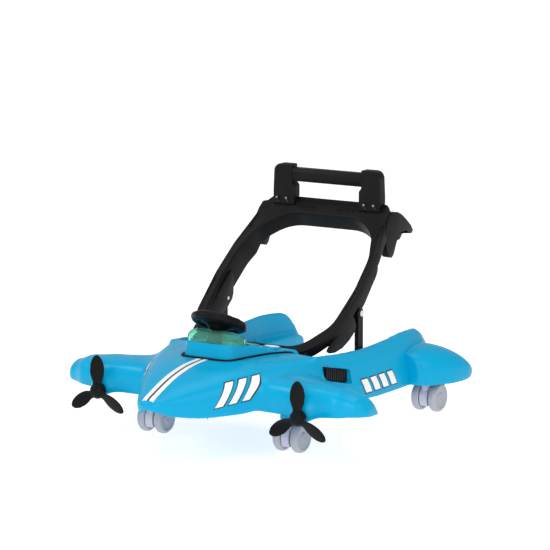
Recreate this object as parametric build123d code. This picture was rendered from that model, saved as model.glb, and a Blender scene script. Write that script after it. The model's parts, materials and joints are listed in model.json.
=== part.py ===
from build123d import *
import os
from math import cos, radians, sin, tan

# Aeroplane-shaped baby walker, standing in its push-walker position.
#
# Millimetres, +Z up, nose towards -Y, origin on the floor under the middle of
# the bounding box.  The left side is the mirror image of the right side.

os.makedirs("parts", exist_ok=True)

# ---------------------------------------------------------------- driving dimensions
WALL = 3.0                      # moulded wall
RUNNING = 0.05                  # radial clearance of every turning shaft
FIT_GAP = 0.3                   # gap between pieces that only sit side by side

# casters
WHEEL_R = 26.5
WHEEL_W = 15.0
WHEEL_X = 17.5                  # wheel centre from the caster's middle plane
AXLE_R = 2.5
AXLE_HALF = 22.0
STEM_R = 5.0
STEM_TOP = 92.0
CASTER_TRAIL = 12.0             # wheels trail this far behind the stem
HOOD_R = 25.0
HOOD_HALF = 7.5
FRAME_TOP = 58.0
SOCKET_R = 14.0
SOCKET_BOTTOM = 60.0
FRONT_CASTER = (140.6, -120.0)  # wheel axle centre, X and Y
REAR_CASTER = (181.0, 287.0)

# propellers
PROP_X, PROP_Y, PROP_Z = 205.0, -204.0, 82.0
PROP_R = 64.0
BLADE_W = 26.0
BLADE_T = 3.2
BLADE_PITCH = 16.0
HUB_R = 14.0
HUB_FRONT = -217.0
HUB_BACK = -199.0
PROP_PIN_R = 3.0
PROP_PIN_END = -160.0

# body decks
DECK_Z = 152.0                  # deck under the console
TROUGH_Z = 126.0                # lower floor behind the deck, under the ring's hinge bar
DECK_FRONT, DECK_BACK = -180.0, -48.0
CHILD_FRONT = 15.0              # front wall of the space that the child stands in
LEDGE_INNER_X = 120.0
ARM_FACE_X = 149.5              # inner face of the arm's raised outer wall

# seat ring, drawn flat and tilted about the X axis
RING_TILT = 40.0
RING_Y0, RING_Z0 = -204.0, 8.0  # point where the ring's tilted plane crosses X-Z at s = 0
RING_SKIRT = 19.0               # outer wall depth
RING_WALL = 36.0                # inner wall depth
FRONT_BAR_DEPTH = 20.0
HINGE_Y, HINGE_Z = -20.0, 148.0
HINGE_PIN_R = 3.0

# struts
STRUT_X = 142.3
STRUT_T = 8.0
STRUT_W = 19.0
STRUT_Y, STRUT_TOP_Z, STRUT_FOOT_Z = 100.0, 206.0, 114.0
STRUT_PIN_R = 3.0

# handle on the ring's top bar
HANDLE_Y, HANDLE_TOP = 232.0, 440.0
HANDLE_D = 22.0
BAR_BOTTOM, BAR_TOP = 409.0, 434.0
BRACKET_IN, BRACKET_OUT = 73.0, 111.0

# steering
WHEEL_Y, WHEEL_Z = -132.0, 213.0
RIM_R, RIM_TUBE = 41.5, 8.5
STEER_TILT = 26.0
COLUMN_R = 9.0
COLUMN_LEN = 62.0

# console
CONSOLE_FRONT, CONSOLE_FRONT_Z = -176.0, 184.0
CONSOLE_SLOPE = 10.2
TRIM_W, TRIM_H = 4.0, 4.0
BUTTON_R = 13.0


# ---------------------------------------------------------------- helpers
def save(node, shape):
    """Write one node to its own file."""
    export_step(shape, f"parts/{node}.step")


def flip(shape):
    """The left-hand twin of a right-hand piece."""
    return mirror(shape, about=Plane.YZ)


def save_pair(name, right_shape):
    """Write the right-hand piece and its mirror image."""
    save(f"right_{name}", right_shape)
    save(f"left_{name}", flip(right_shape))


def rod(radius, start, end):
    """Solid cylinder from one point to another."""
    axis = Vector(*end) - Vector(*start)
    plane = Plane(origin=start, z_dir=axis)
    return plane * Cylinder(radius, axis.length, align=(Align.CENTER, Align.CENTER, Align.MIN))


def block(x0, x1, y0, y1, z0, z1):
    """Box between two corners."""
    size = Box(x1 - x0, y1 - y0, z1 - z0, align=Align.MIN)
    return Pos(x0, y0, z0) * size


def polygon_loft(outlines):
    """Straight-sided loft through closed polygons."""
    faces = [make_face(Polyline(*points, close=True)) for points in outlines]
    return loft(faces, ruled=True)


def prism(points, amount):
    """Extrude an outline drawn in X-Y straight up."""
    return extrude(make_face(Polyline(*points, close=True)), amount=amount, dir=(0, 0, 1))


def side_prism(points_yz, x0, x1):
    """Extrude an outline given as (Y, Z) pairs from x0 to x1."""
    outline = [(x0, y, z) for y, z in points_yz]
    return extrude(make_face(Polyline(*outline, close=True)), amount=x1 - x0, dir=(1, 0, 0))


# ---------------------------------------------------------------- fuselage
# Y, bottom half width, bottom Z, widest half width, its Z, shoulder half width, shoulder Z, crown Z
NOSE_STATIONS = [
    (-354, 10, 100, 15, 107, 10, 111, 112),
    (-340, 21, 91, 28, 107, 20, 116, 119),
    (-322, 34, 84, 40, 105, 30, 122, 127),
    (-297, 47, 78, 56, 104, 44, 131, 137),
    (-254, 70, 75, 81, 104, 65, 138, 149),
    (-210, 90, 72, 101, 104, 86, 146, 155),
    (-172, 103, 72, 116, 104, 98, 150, 155),
    (-130, 112, 72, 133, 105, 119, 152, 155),
    (-90, 118, 70, 148, 105, 136, 155, 155),
    (DECK_BACK, 124, 68, 160, 100, 149, 155, 155),
]


def fuselage_face(y, wb, zb, wm, zm, ws, zs, zt):
    """One cross-section of the nose, a flat bottom with rounded sides and crown."""
    right = Spline((wb, y, zb), (wm, y, zm), (ws, y, zs))
    crown = Spline((ws, y, zs), (0, y, zt), (-ws, y, zs))
    left = Spline((-ws, y, zs), (-wm, y, zm), (-wb, y, zb))
    bottom = Line((-wb, y, zb), (wb, y, zb))
    return make_face([right, crown, left, bottom])


def fuselage(inset):
    """Nose and centre body, drawn smaller all round by the inset."""
    faces = []
    for y, wb, zb, wm, zm, ws, zs, zt in NOSE_STATIONS:
        drop = 3 * inset
        end = y + inset if y < DECK_BACK else y - inset
        lid = 2 * inset if y > DECK_FRONT else inset
        faces.append(fuselage_face(end, wb - inset, zb - drop, wm - inset, zm,
                                   ws - inset, zs - lid, zt - lid))
    return loft(faces)


# ---------------------------------------------------------------- side arms
# Y, inner X, inner bottom Z, outer bottom X, outer bottom Z, wall top X, wall top Z, wall face X, ledge Z
ARM_STATIONS = [
    (-60, 112, 70, 158, 68, 151.0, 154, 147.0, TROUGH_Z),
    (15, 119, 66, 172, 64, 152.5, 149, ARM_FACE_X, 108),
    (95, LEDGE_INNER_X, 62, 181, 60, 152.5, 145, ARM_FACE_X, 104),
    (240, 121, 60, 180, 59, 148.0, 150, 144.5, 104),
    (300, 121, 60, 172, 59, 142.0, 147, 138.5, 104),
    (330, 122, 64, 162, 62, 139.5, 124, 136.0, 102),
    (350, 124, 72, 152, 70, 138.5, 98, 135.5, 92),
]


def arm(inset):
    """Right side arm: an inner ledge beside a tall outer wall that ends as the tail fin."""
    outlines = []
    stations = ARM_STATIONS[:-1] if inset else ARM_STATIONS
    for y, xi, zi, xo, zo, xt, zt, xf, zl in stations:
        end = y + inset if y < 0 else y
        outlines.append([
            (xi + inset, end, zi - 3 * inset),
            (xo - inset, end, zo - 3 * inset),
            (xt + 0.25 * inset, end, zt - 4 * inset),
            (xf + 0.75 * inset, end, zt - 4 * inset),
            (xf + 0.75 * inset, end, zl - inset),
            (xi + inset, end, zl - inset),
        ])
    return polygon_loft(outlines)


# ---------------------------------------------------------------- wings
# X, front Y, rear Y, bottom Z, top Z, ridge Y
WING_STATIONS = [
    (100, -184, 4, 76, 137, -128),
    (150, -186, 20, 76, 137, -134),
    (206, -190, -30, 76, 136, -144),
    (252, -184, -72, 79, 132, -146),
    (288, -168, -94, 80, 121, -140),
    (307, -148, -106, 81, 103, -130),
]


def wing_face(x, front, rear, bottom, top, ridge):
    """One wing section, blunt in front and sloping down behind its ridge."""
    height = top - bottom
    lead = Spline((x, front + 10, bottom), (x, front, bottom + 0.45 * height),
                  (x, front + 14, top - 0.08 * height))
    roof = Spline((x, front + 14, top - 0.08 * height), (x, ridge, top),
                  (x, 0.5 * (ridge + rear), bottom + 0.62 * height), (x, rear, bottom + 6))
    tail = Line((x, rear, bottom + 6), (x, rear, bottom))
    base = Line((x, rear, bottom), (x, front + 10, bottom))
    return make_face([lead, roof, tail, base])


def wing(inset):
    """Right wing, drawn smaller all round by the inset."""
    faces = []
    for x, front, rear, bottom, top, ridge in WING_STATIONS:
        drop = 3 * inset
        tip = x - inset if x > 300 else x
        faces.append(wing_face(tip, front + inset, rear - inset, bottom - drop, top - inset, ridge))
    return loft(faces)


def nacelle():
    """Round boss behind the propeller."""
    boss = rod(21, (PROP_X, HUB_BACK + 3, PROP_Z + 8), (PROP_X, -150, PROP_Z + 8))
    return fillet(boss.edges().filter_by(GeomType.CIRCLE).sort_by(Axis.Y)[0], 8)


# ---------------------------------------------------------------- tail pods
# Y, inner X, outer X, bottom Z, top Z
POD_STATIONS = [
    (213, 165, 187, 60, 114),
    (235, 160, 213, 58, 122),
    (270, 155, 232, 56, 126),
    (305, 150, 240, 56, 118),
    (335, 160, 241, 58, 96),
    (354, 195, 234, 62, 78),
]


def pod_face(y, inner, outer, bottom, top):
    """One section of the tail pod: flat underside with a rounded back."""
    side = Spline((outer - 3, y, bottom), (outer, y, bottom + 0.3 * (top - bottom)),
                  (0.5 * (inner + outer), y, top), (inner, y, top - 0.12 * (top - bottom)))
    wall = Line((inner, y, top - 0.12 * (top - bottom)), (inner, y, bottom))
    base = Line((inner, y, bottom), (outer - 3, y, bottom))
    return make_face([side, wall, base])


def pod(inset):
    """Right tail pod, drawn smaller all round by the inset."""
    faces = []
    for y, inner, outer, bottom, top in POD_STATIONS:
        drop = 3 * inset
        level = y - inset if y > 300 else y + inset
        faces.append(pod_face(level, inner + inset, outer - inset, bottom - drop, top - inset))
    return loft(faces)


def caster_socket(x, y, roof):
    """Tubular boss that takes a caster stem."""
    return rod(SOCKET_R, (x, y, SOCKET_BOTTOM), (x, y, roof))


def stem_bore(x, y):
    """Running bore for a caster stem."""
    return rod(STEM_R + RUNNING, (x, y, SOCKET_BOTTOM - 1), (x, y, STEM_TOP + 1))


# ---------------------------------------------------------------- base shell
arm_right = arm(0)
fuselage_out = fuselage(0)
wing_right = wing(0)
nacelle_right = nacelle()
trough = block(-126, 126, DECK_BACK - 20, CHILD_FRONT, 68, TROUGH_Z)

outer_right = arm_right + wing_right + nacelle_right
outer = fuselage_out + trough + outer_right + flip(outer_right)

hollow_right = arm(WALL) + wing(WALL)
trough_hollow = block(-123, 123, DECK_BACK - 25, CHILD_FRONT - WALL, 55, TROUGH_Z - WALL)
hollow = fuselage(WALL) + trough_hollow + hollow_right + flip(hollow_right)
base_shell = outer - hollow

front_stem = (FRONT_CASTER[0], FRONT_CASTER[1] - CASTER_TRAIL)
rear_stem = (REAR_CASTER[0], REAR_CASTER[1] - CASTER_TRAIL)

# bosses that reach up to the roof, cut to the outer shape
front_boss = caster_socket(*front_stem, 135.5)
pin_boss = rod(8, (PROP_X, -196, PROP_Z), (PROP_X, PROP_PIN_END, PROP_Z))
pin_web = block(PROP_X - 3, PROP_X + 3, -172, PROP_PIN_END, PROP_Z, 130.5)
prop_pin_hole = rod(PROP_PIN_R, (PROP_X, -206, PROP_Z), (PROP_X, PROP_PIN_END - 1, PROP_Z))
strut_slot = block(STRUT_X - 6.2, ARM_FACE_X - 0.2, STRUT_Y - 14, 206, 86, 112)
strut_relief = block(STRUT_X - 6.2, STRUT_X + 0.5 * STRUT_T + 0.6, 170, 218, 100, 138)

right_features = front_boss + pin_boss + pin_web
base_shell = base_shell + right_features + flip(right_features)
right_cuts = stem_bore(*front_stem) + prop_pin_hole + strut_slot + strut_relief
base_shell = base_shell - right_cuts - flip(right_cuts)

# ---------------------------------------------------------------- side vents
VENT_Y0, VENT_Y1 = -46.0, 26.0
VENT_RIBS = 7


def vent_outline(grow):
    """Side view of the vent, sloping down towards the tail."""
    return [(VENT_Y0 - grow, 116 - grow), (VENT_Y0 - grow, 134 + grow),
            (VENT_Y1 + grow, 117 + grow), (VENT_Y1 + grow, 99 - grow)]


vent_panel = side_prism(vent_outline(0), 157, 165)
vent_grooves = [block(161, 170, y, y + 3.5, 90, 140)
                for y in [VENT_Y0 + 6 + i * (VENT_Y1 - VENT_Y0 - 12) / VENT_RIBS for i in range(VENT_RIBS + 1)]]
vent = vent_panel - vent_grooves
vent_pocket = side_prism(vent_outline(0), 157, 185)
base_shell = base_shell - vent_pocket - flip(vent_pocket)
save_pair("side_vent", vent)

# ---------------------------------------------------------------- console
TRIM_OUTLINE = [(46, CONSOLE_FRONT), (54, -164), (55, -136), (62, -104), (70, -78),
                (88, -54), (112, -34), (122, -22)]


def both_sides(points):
    """Closed outline from its right half, front to back."""
    return points + [(-x, y) for x, y in reversed(points)]


def console_roof(y):
    """Height of the console's sloping top."""
    return CONSOLE_FRONT_Z - (y - CONSOLE_FRONT) * tan(radians(CONSOLE_SLOPE))


def console_block(inset, bottom, height):
    """Console body below its sloping roof."""
    points = [(x - inset, y + (inset if y < -150 else 0)) for x, y in TRIM_OUTLINE]
    back = -44.0 - inset
    points = [p for p in points if p[1] < back] + [(points[-2][0] - inset, back)]
    solid = Pos(0, 0, bottom) * prism(both_sides(points), height)
    roof = side_prism([(-220, console_roof(-220) - inset), (20, console_roof(20) - inset),
                       (20, 260), (-220, 260)], -200, 200)
    return solid - roof


console_outer = console_block(0, DECK_Z, 60)
console = console_outer - console_block(WALL, DECK_Z - 1, 60)
steer_axis = Vector(0, sin(radians(STEER_TILT)), cos(radians(STEER_TILT)))
wheel_centre = Vector(0, WHEEL_Y, WHEEL_Z)


def on_column(distance):
    """Point on the steering axis, measured down from the wheel's centre."""
    return tuple(wheel_centre - steer_axis * distance)


steer_plane = Plane(origin=on_column(0), x_dir=(1, 0, 0), z_dir=steer_axis)
BUSH_R = COLUMN_R + 5
console = console - rod(BUSH_R, on_column(0), on_column(60))
steering_bush = rod(BUSH_R, on_column(26), on_column(50)) - rod(COLUMN_R + RUNNING, on_column(0), on_column(70))
save("steering_bush", steering_bush)

# sprung buttons, two on each side of the wheel
roof_normal = Vector(0, sin(radians(CONSOLE_SLOPE)), cos(radians(CONSOLE_SLOPE)))
BUTTON_SPOTS = {"white_button": (62, -60), "green_button": (36, -86)}


def button_point(x, y, lift):
    """Point above the console roof at a button, along the roof's normal."""
    return tuple(Vector(x, y, console_roof(y)) + roof_normal * lift)


for name, (x, y) in BUTTON_SPOTS.items():
    hole = rod(BUTTON_R + FIT_GAP, button_point(x, y, -8), button_point(x, y, 8))
    console = console - hole - flip(hole)
    cap = rod(BUTTON_R, button_point(x, y, -5), button_point(x, y, 3.5))
    cap = fillet(cap.edges().filter_by(GeomType.CIRCLE).sort_by(Axis.Z)[-1], 1.5)
    save_pair(name, cap)
save("console_shell", console)

# black trim bead round the console's foot
def grown_outline(side, front):
    """The console's foot outline, wider by one amount and longer in front by another."""
    return both_sides([(x + side, y - (front if y < -170 else 0)) for x, y in TRIM_OUTLINE])


trim_outer = prism(grown_outline(TRIM_W, TRIM_W), TRIM_H)
trim_blank = Pos(0, 0, DECK_Z) * (trim_outer - block(-115, 115, -42, 0, -1, 9))
save("console_trim", trim_blank - console_outer)
console_seat = Pos(0, 0, DECK_Z) * prism(grown_outline(TRIM_W + 1, TRIM_W + 1), 40)
base_shell = base_shell - console_seat

# ---------------------------------------------------------------- dash dome
DOME_FRONT, DOME_BACK, DOME_HALF, DOME_TOP = -173.0, -104.0, 45.0, 202.0
DOME_GAP = 17.0                 # from the steering wheel's middle plane down to the dome


def dome_body(inset):
    """Clear cowl over the dials, highest near its front and sloping back under the wheel."""
    lens = block(-DOME_HALF + inset, DOME_HALF - inset, DOME_FRONT + inset, DOME_BACK - inset,
                 150, DOME_TOP - inset)
    lens = fillet(lens.edges().filter_by(Axis.Z), 16)
    lens = fillet(lens.faces().sort_by(Axis.Z)[-1].edges(), 12)
    floor = side_prism([(-220, console_roof(-220)), (20, console_roof(20)), (20, 100), (-220, 100)],
                       -200, 200)
    above = steer_plane * block(-100, 100, -100, 100, -DOME_GAP - inset, 80)
    return lens - floor - above


dash_dome = dome_body(0) - dome_body(2.2) - rod(BUSH_R + FIT_GAP, on_column(-20), on_column(60))
save("dash_dome", dash_dome)

# ---------------------------------------------------------------- electronics inside the console
battery_box = block(-34, 34, -120, -84, DECK_Z - 26, DECK_Z - 4) - block(-31, 31, -117, -87, DECK_Z - 26, DECK_Z - 7)
save("battery_box", battery_box)
save("battery_door", block(-34, 34, -120, -84, DECK_Z - 29, DECK_Z - 26))
cells = [rod(7.0, (-25, y, DECK_Z - 16), (25, y, DECK_Z - 16)) for y in (-109.5, -94.5)]
save("batteries", Compound(children=cells))
save("circuit_board", block(-40, 40, -100, -62, DECK_Z + 1.5, DECK_Z + 3.1))
save("speaker", rod(15, (0, -80, DECK_Z + 3.1), (0, -80, DECK_Z + 8)))

# ---------------------------------------------------------------- finish the base shell
battery_slot = block(-34, 34, -120, -84, DECK_Z - 8, DECK_Z + 1)
base_shell = base_shell - battery_slot - rod(BUSH_R, on_column(0), on_column(50))
save("base_shell", base_shell)

# ---------------------------------------------------------------- tail pods and rear caster brackets
rear_boss = caster_socket(*rear_stem, 98)
bracket_arm = block(160, rear_stem[0], rear_stem[1] - 10, rear_stem[1] + 10, 84, 98)
caster_bracket = rear_boss + bracket_arm - arm_right - stem_bore(*rear_stem)
save_pair("caster_bracket", caster_bracket)
save_pair("tail_pod", pod(0) - pod(WALL) - arm_right - rear_boss)

# ---------------------------------------------------------------- propellers
propeller_pin = rod(PROP_PIN_R, (PROP_X, -212, PROP_Z), (PROP_X, PROP_PIN_END - 1, PROP_Z))
save("propeller_pins", Compound(children=[propeller_pin, flip(propeller_pin)]))

hub = rod(HUB_R, (PROP_X, HUB_FRONT, PROP_Z), (PROP_X, HUB_BACK, PROP_Z))
hub = fillet(hub.edges().filter_by(GeomType.CIRCLE).sort_by(Axis.Y)[0], 9)
blade_mid = 0.5 * (HUB_R - 6 + PROP_R)
blade_half = PROP_R - blade_mid
blade_plane = Plane(origin=(0, 0, blade_mid), x_dir=(1, 0, 0), z_dir=(0, -1, 0))
blade_plate = extrude(blade_plane * Ellipse(0.5 * BLADE_W, blade_half), amount=0.5 * BLADE_T, both=True)
blade = Rot(0, 0, BLADE_PITCH) * blade_plate
propeller = hub
for turn in (0, 120, 240):
    propeller += Pos(PROP_X, HUB_BACK - 8, PROP_Z) * Rot(0, turn, 0) * blade
propeller -= rod(PROP_PIN_R + RUNNING, (PROP_X, -212.5, PROP_Z), (PROP_X, HUB_BACK + 1, PROP_Z))
save_pair("propeller", propeller)


# ---------------------------------------------------------------- steering wheel
def along_axis(radius, top, bottom):
    """Cylinder on the steering axis between two distances below the wheel's centre."""
    return rod(radius, on_column(bottom), on_column(top))


rim = steer_plane * Torus(RIM_R, RIM_TUBE)
hub_cup = along_axis(19, -5, 15)
spoke = block(-RIM_R, RIM_R, -7, 7, -4, 4)
spoke_down = block(-7, 7, -RIM_R, 0, -4, 4)
steering_wheel = rim + hub_cup + steer_plane * (spoke + spoke_down)
steering_wheel -= along_axis(COLUMN_R, 5, 20) + along_axis(13.3, -6, 1)
save("steering_wheel", steering_wheel)
save("steering_column", along_axis(COLUMN_R, 5, COLUMN_LEN))
save("horn_button", along_axis(13, -8.5, -1.8))

# ---------------------------------------------------------------- seat ring
ring_plane = Plane(origin=(0, RING_Y0, RING_Z0), x_dir=(1, 0, 0),
                   z_dir=(0, -sin(radians(RING_TILT)), cos(radians(RING_TILT))))
# right half of each outline as corners (X, s, corner radius), front to back
RING_OUTER = [(112, 225, 42), (148, 286, 70), (153, 385, 160), (149, 458, 120), (131, 560, 16), (119, 579, 12)]
RING_INNER = [(88, 240, 55), (131, 296, 60), (138, 378, 150), (134, 450, 110), (118, 502, 60), (82, 541, 70)]


def ring_face(corners):
    """Face inside a closed outline, symmetric about X = 0, with every corner rounded."""
    points = [(x, s) for x, s, _ in corners]
    face = make_face(Polyline(*points, *[(-x, s) for x, s in reversed(points)], close=True))
    for x, s, radius in corners:
        for side in (x, -x):
            corner = face.vertices().sort_by_distance((side, s, 0))[0]
            face = fillet(corner, radius)
    return face


outer_face = ring_face(RING_OUTER)
inner_face = ring_face(RING_INNER)
outer_lip = offset(outer_face, amount=-WALL)
inner_lip = offset(inner_face, amount=WALL)


def below(face, depth):
    """Extrude a flat face downwards in the ring's own frame."""
    return extrude(face, amount=-depth, dir=(0, 0, 1))


ring_local = below(outer_face, RING_WALL) - Pos(0, 0, 1) * below(inner_face, RING_WALL + 2)
outside_lip = block(-170, 170, 210, 600, -RING_WALL - 1, -RING_SKIRT) - below(inner_lip, RING_WALL + 2)
ring_local -= outside_lip
channel = below(outer_lip, RING_WALL - WALL) - Pos(0, 0, 1) * below(inner_lip, RING_WALL + 2)
ring_local -= Pos(0, 0, -WALL) * channel
ring_local -= block(-160, 160, 220, 262, -RING_WALL - 1, -FRONT_BAR_DEPTH)
bracket_gap = block(88, 100, 218, 239, -40, -WALL - 0.5)
ring_local -= bracket_gap + flip(bracket_gap)
seat_ring = ring_plane * ring_local


def hinge_rod(radius, x0, x1):
    """Cylinder on the fold hinge's axis."""
    return rod(radius, (x0, HINGE_Y, HINGE_Z), (x1, HINGE_Y, HINGE_Z))


knuckles = hinge_rod(7, 76, 87.6) + hinge_rod(7, 100.4, 112)
strut_pivot = (STRUT_Y, STRUT_TOP_Z)
lug_shape = Polyline((134, 335, -24), (134, 335, -38), (134, 350, -55), (134, 371, -55),
                     (134, 392, -38), (134, 392, -24), close=True)
LUG_X0, LUG_X1 = 131.5, 137.3
lug = Pos(LUG_X0 - 134, 0, 0) * extrude(make_face(lug_shape), amount=LUG_X1 - LUG_X0, dir=(1, 0, 0))
lug_root = block(LUG_X0, 139, 337, 390, -33, -24)
ring_extras = knuckles + ring_plane * (lug + lug_root)


def strut_pin_rod(radius, x0, x1):
    """Cylinder on the strut's upper pivot."""
    return rod(radius, (x0, *strut_pivot), (x1, *strut_pivot))


ring_bores = hinge_rod(HINGE_PIN_R + RUNNING, 70, 118) + strut_pin_rod(STRUT_PIN_R, 120, LUG_X1 + 1)
strut_room = strut_pin_rod(0.5 * STRUT_W + 0.8, LUG_X1 + 0.5, 150)
ring_cuts = ring_bores + strut_room
seat_ring = seat_ring + ring_extras + flip(ring_extras) - ring_cuts - flip(ring_cuts)

# ---------------------------------------------------------------- fold hinge on the base
bracket = block(90, 98, HINGE_Y - 6, HINGE_Y + 6, TROUGH_Z, HINGE_Z) + hinge_rod(6.5, 90, 98)
bracket += block(84, 104, HINGE_Y - 12, HINGE_Y + 12, TROUGH_Z, TROUGH_Z + 3)
bracket -= hinge_rod(HINGE_PIN_R, 89, 99)
save("hinge_brackets", Compound(children=[bracket, flip(bracket)]))
hinge_pin = hinge_rod(HINGE_PIN_R, 78, 110)
save("hinge_pins", Compound(children=[hinge_pin, flip(hinge_pin)]))

# ---------------------------------------------------------------- struts
strut_x0, strut_x1 = STRUT_X - 0.5 * STRUT_T, STRUT_X + 0.5 * STRUT_T
FOOT_R = 8.0
strut = block(strut_x0, strut_x1, STRUT_Y - FOOT_R, STRUT_Y + FOOT_R, STRUT_FOOT_Z, STRUT_TOP_Z)
strut += strut_pin_rod(0.5 * STRUT_W, strut_x0, strut_x1)
strut += rod(FOOT_R, (strut_x0, STRUT_Y, STRUT_FOOT_Z), (strut_x1, STRUT_Y, STRUT_FOOT_Z))
strut -= strut_pin_rod(STRUT_PIN_R + RUNNING, 130, 150)
save_pair("strut", strut)
strut_screw = strut_pin_rod(STRUT_PIN_R, LUG_X0, strut_x1 + 0.3) + strut_pin_rod(5.5, strut_x1 + 0.3, strut_x1 + 2.3)
save("strut_screws", Compound(children=[strut_screw, flip(strut_screw)]))

# ---------------------------------------------------------------- ring hooks at the rear corners
HOOK_SIDE = [(196, 330), (226, 370), (252, 366), (275, 352), (292, 338), (298, 328), (290, 323),
             (272, 330), (257, 330), (248, 317), (234, 314), (226, 300), (222, 286), (208, 287)]
ring_envelope = ring_plane * (below(outer_face, RING_SKIRT) + below(inner_lip, RING_WALL))
hook = side_prism(HOOK_SIDE, 124, 140) - ring_envelope
save_pair("ring_hook", hook)

# ---------------------------------------------------------------- push handle
handle_y0, handle_y1 = HANDLE_Y - 0.5 * HANDLE_D, HANDLE_Y + 0.5 * HANDLE_D
under_ring = ring_plane * block(-200, 200, 400, 640, -200, 0)
handle_bracket = block(BRACKET_IN, BRACKET_OUT, handle_y0, handle_y1, 350, HANDLE_TOP)
handle_bracket = fillet(handle_bracket.edges().filter_by(Axis.Y).group_by(Axis.Z)[-1].sort_by(Axis.X)[-1], 18)
bar = block(-BRACKET_OUT + 8, BRACKET_OUT - 8, HANDLE_Y - 9, HANDLE_Y + 9, BAR_BOTTOM, BAR_TOP)
handle_bar = fillet(bar.edges().filter_by(Axis.X), 6)
handle_bracket = handle_bracket - under_ring - handle_bar
save("handle_bar", handle_bar)

screw_spots = [(82, 560), (102, 560)]
screws = [Pos(x, s, 0) * (Pos(0, 0, -1) * Cylinder(2, 30) + Pos(0, 0, -4.5) * Cylinder(4, 3))
          for x, s in screw_spots]
handle_screws = [ring_plane * (screw - block(60, 120, 540, 580, -30, -6)) for screw in screws]
screw_cut = handle_screws[0] + handle_screws[1]
handle_bracket -= screw_cut
seat_ring = seat_ring - screw_cut - flip(screw_cut)
save_pair("handle_bracket", handle_bracket)
save("handle_screws", Compound(children=handle_screws + [flip(screw) for screw in handle_screws]))
save("seat_ring", seat_ring)


# ---------------------------------------------------------------- casters
def caster(name, x, y):
    """One swivel caster: frame, stem, axle and two wheels."""
    stem_y = y - CASTER_TRAIL
    hood = rod(HOOD_R - 1, (x - HOOD_HALF, y, WHEEL_R), (x + HOOD_HALF, y, WHEEL_R))
    hood -= block(x - 20, x + 20, y - 40, y + 40, -10, 12)
    neck = rod(8.5, (x, stem_y, 30), (x, stem_y, FRAME_TOP - 4))
    cap = rod(13, (x, stem_y, FRAME_TOP - 4), (x, stem_y, FRAME_TOP))
    axle = rod(AXLE_R, (x - AXLE_HALF, y, WHEEL_R), (x + AXLE_HALF, y, WHEEL_R))
    stem = rod(STEM_R, (x, stem_y, 40), (x, stem_y, STEM_TOP))
    save(f"{name}_frame", hood + neck + cap - axle - stem)
    save(f"{name}_axle", axle)
    save(f"{name}_stem", stem)
    for side, offset_x in (("inner", -WHEEL_X), ("outer", WHEEL_X)):
        outward = offset_x if x > 0 else -offset_x
        start = x + outward - 0.5 * WHEEL_W
        wheel = rod(WHEEL_R, (start, y, WHEEL_R), (start + WHEEL_W, y, WHEEL_R))
        wheel = fillet(wheel.edges().filter_by(GeomType.CIRCLE), 4)
        wheel -= rod(AXLE_R + RUNNING, (start - 1, y, WHEEL_R), (start + WHEEL_W + 1, y, WHEEL_R))
        save(f"{name}_{side}_wheel", wheel)


for end, (caster_x, caster_y) in {"front": FRONT_CASTER, "rear": REAR_CASTER}.items():
    caster(f"{end}_right", caster_x, caster_y)
    caster(f"{end}_left", -caster_x, caster_y)
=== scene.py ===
# %% [markdown]
# # An aeroplane-shaped baby walker
#
# The walker is one wide moulded shell on four swivel casters. Its nose, wings
# and side arms are one skin, a folding seat ring stands over it, and the small
# parts are black, white and grey mouldings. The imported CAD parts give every
# position. The cells below model the skins and finishes round them.

# %% Load the frame and set up
import json
from math import cos, pi, radians, sin, tan

import bmesh
import bpy
import numpy as np
from mathutils import Matrix, Vector
from mathutils.bvhtree import BVHTree


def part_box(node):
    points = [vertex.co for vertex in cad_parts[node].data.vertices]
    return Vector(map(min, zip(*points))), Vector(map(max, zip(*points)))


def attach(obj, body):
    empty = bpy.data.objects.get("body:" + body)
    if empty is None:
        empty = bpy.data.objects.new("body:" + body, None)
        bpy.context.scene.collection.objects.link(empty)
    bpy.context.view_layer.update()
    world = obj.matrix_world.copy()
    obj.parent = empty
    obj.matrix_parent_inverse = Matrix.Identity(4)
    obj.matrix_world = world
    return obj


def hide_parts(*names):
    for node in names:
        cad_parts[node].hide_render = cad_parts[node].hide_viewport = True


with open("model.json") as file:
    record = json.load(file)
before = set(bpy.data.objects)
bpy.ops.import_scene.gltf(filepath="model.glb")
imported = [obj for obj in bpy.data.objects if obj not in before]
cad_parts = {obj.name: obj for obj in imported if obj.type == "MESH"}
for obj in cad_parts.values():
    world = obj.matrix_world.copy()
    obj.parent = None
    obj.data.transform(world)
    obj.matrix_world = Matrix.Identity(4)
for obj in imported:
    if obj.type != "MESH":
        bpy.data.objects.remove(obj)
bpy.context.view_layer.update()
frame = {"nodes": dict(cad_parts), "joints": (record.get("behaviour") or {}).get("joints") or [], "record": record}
MM = 0.001
SIDES = {"right": 1, "left": -1}


def corners(node):
    """A CAD node's lowest and highest corner, in millimetres."""
    low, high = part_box(node)
    return np.array(low) / MM, np.array(high) / MM


def middle(node):
    """The middle of a CAD node's box, in millimetres."""
    low, high = corners(node)
    return 0.5 * (low + high)


# %% [markdown]
# ## Shared finish groups
#
# Injection-moulded plastic is never one flat colour. It has a fine mould
# grain, a slight drift of colour, soft scuffs, pale rubbed edges and some dust
# on upward faces. Each of these is a small node group with named sockets, so
# that every plastic on the walker can use it with its own strength.

# %% Node helpers
def add_node(tree, kind, inputs=None, **settings):
    """Add a node, set its options, and fill its inputs with values or links."""
    made = tree.nodes.new(kind)
    for option, value in settings.items():
        setattr(made, option, value)
    for socket, value in (inputs or {}).items():
        if isinstance(value, bpy.types.NodeSocket):
            tree.links.new(value, made.inputs[socket])
        else:
            made.inputs[socket].default_value = value
    return made


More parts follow.
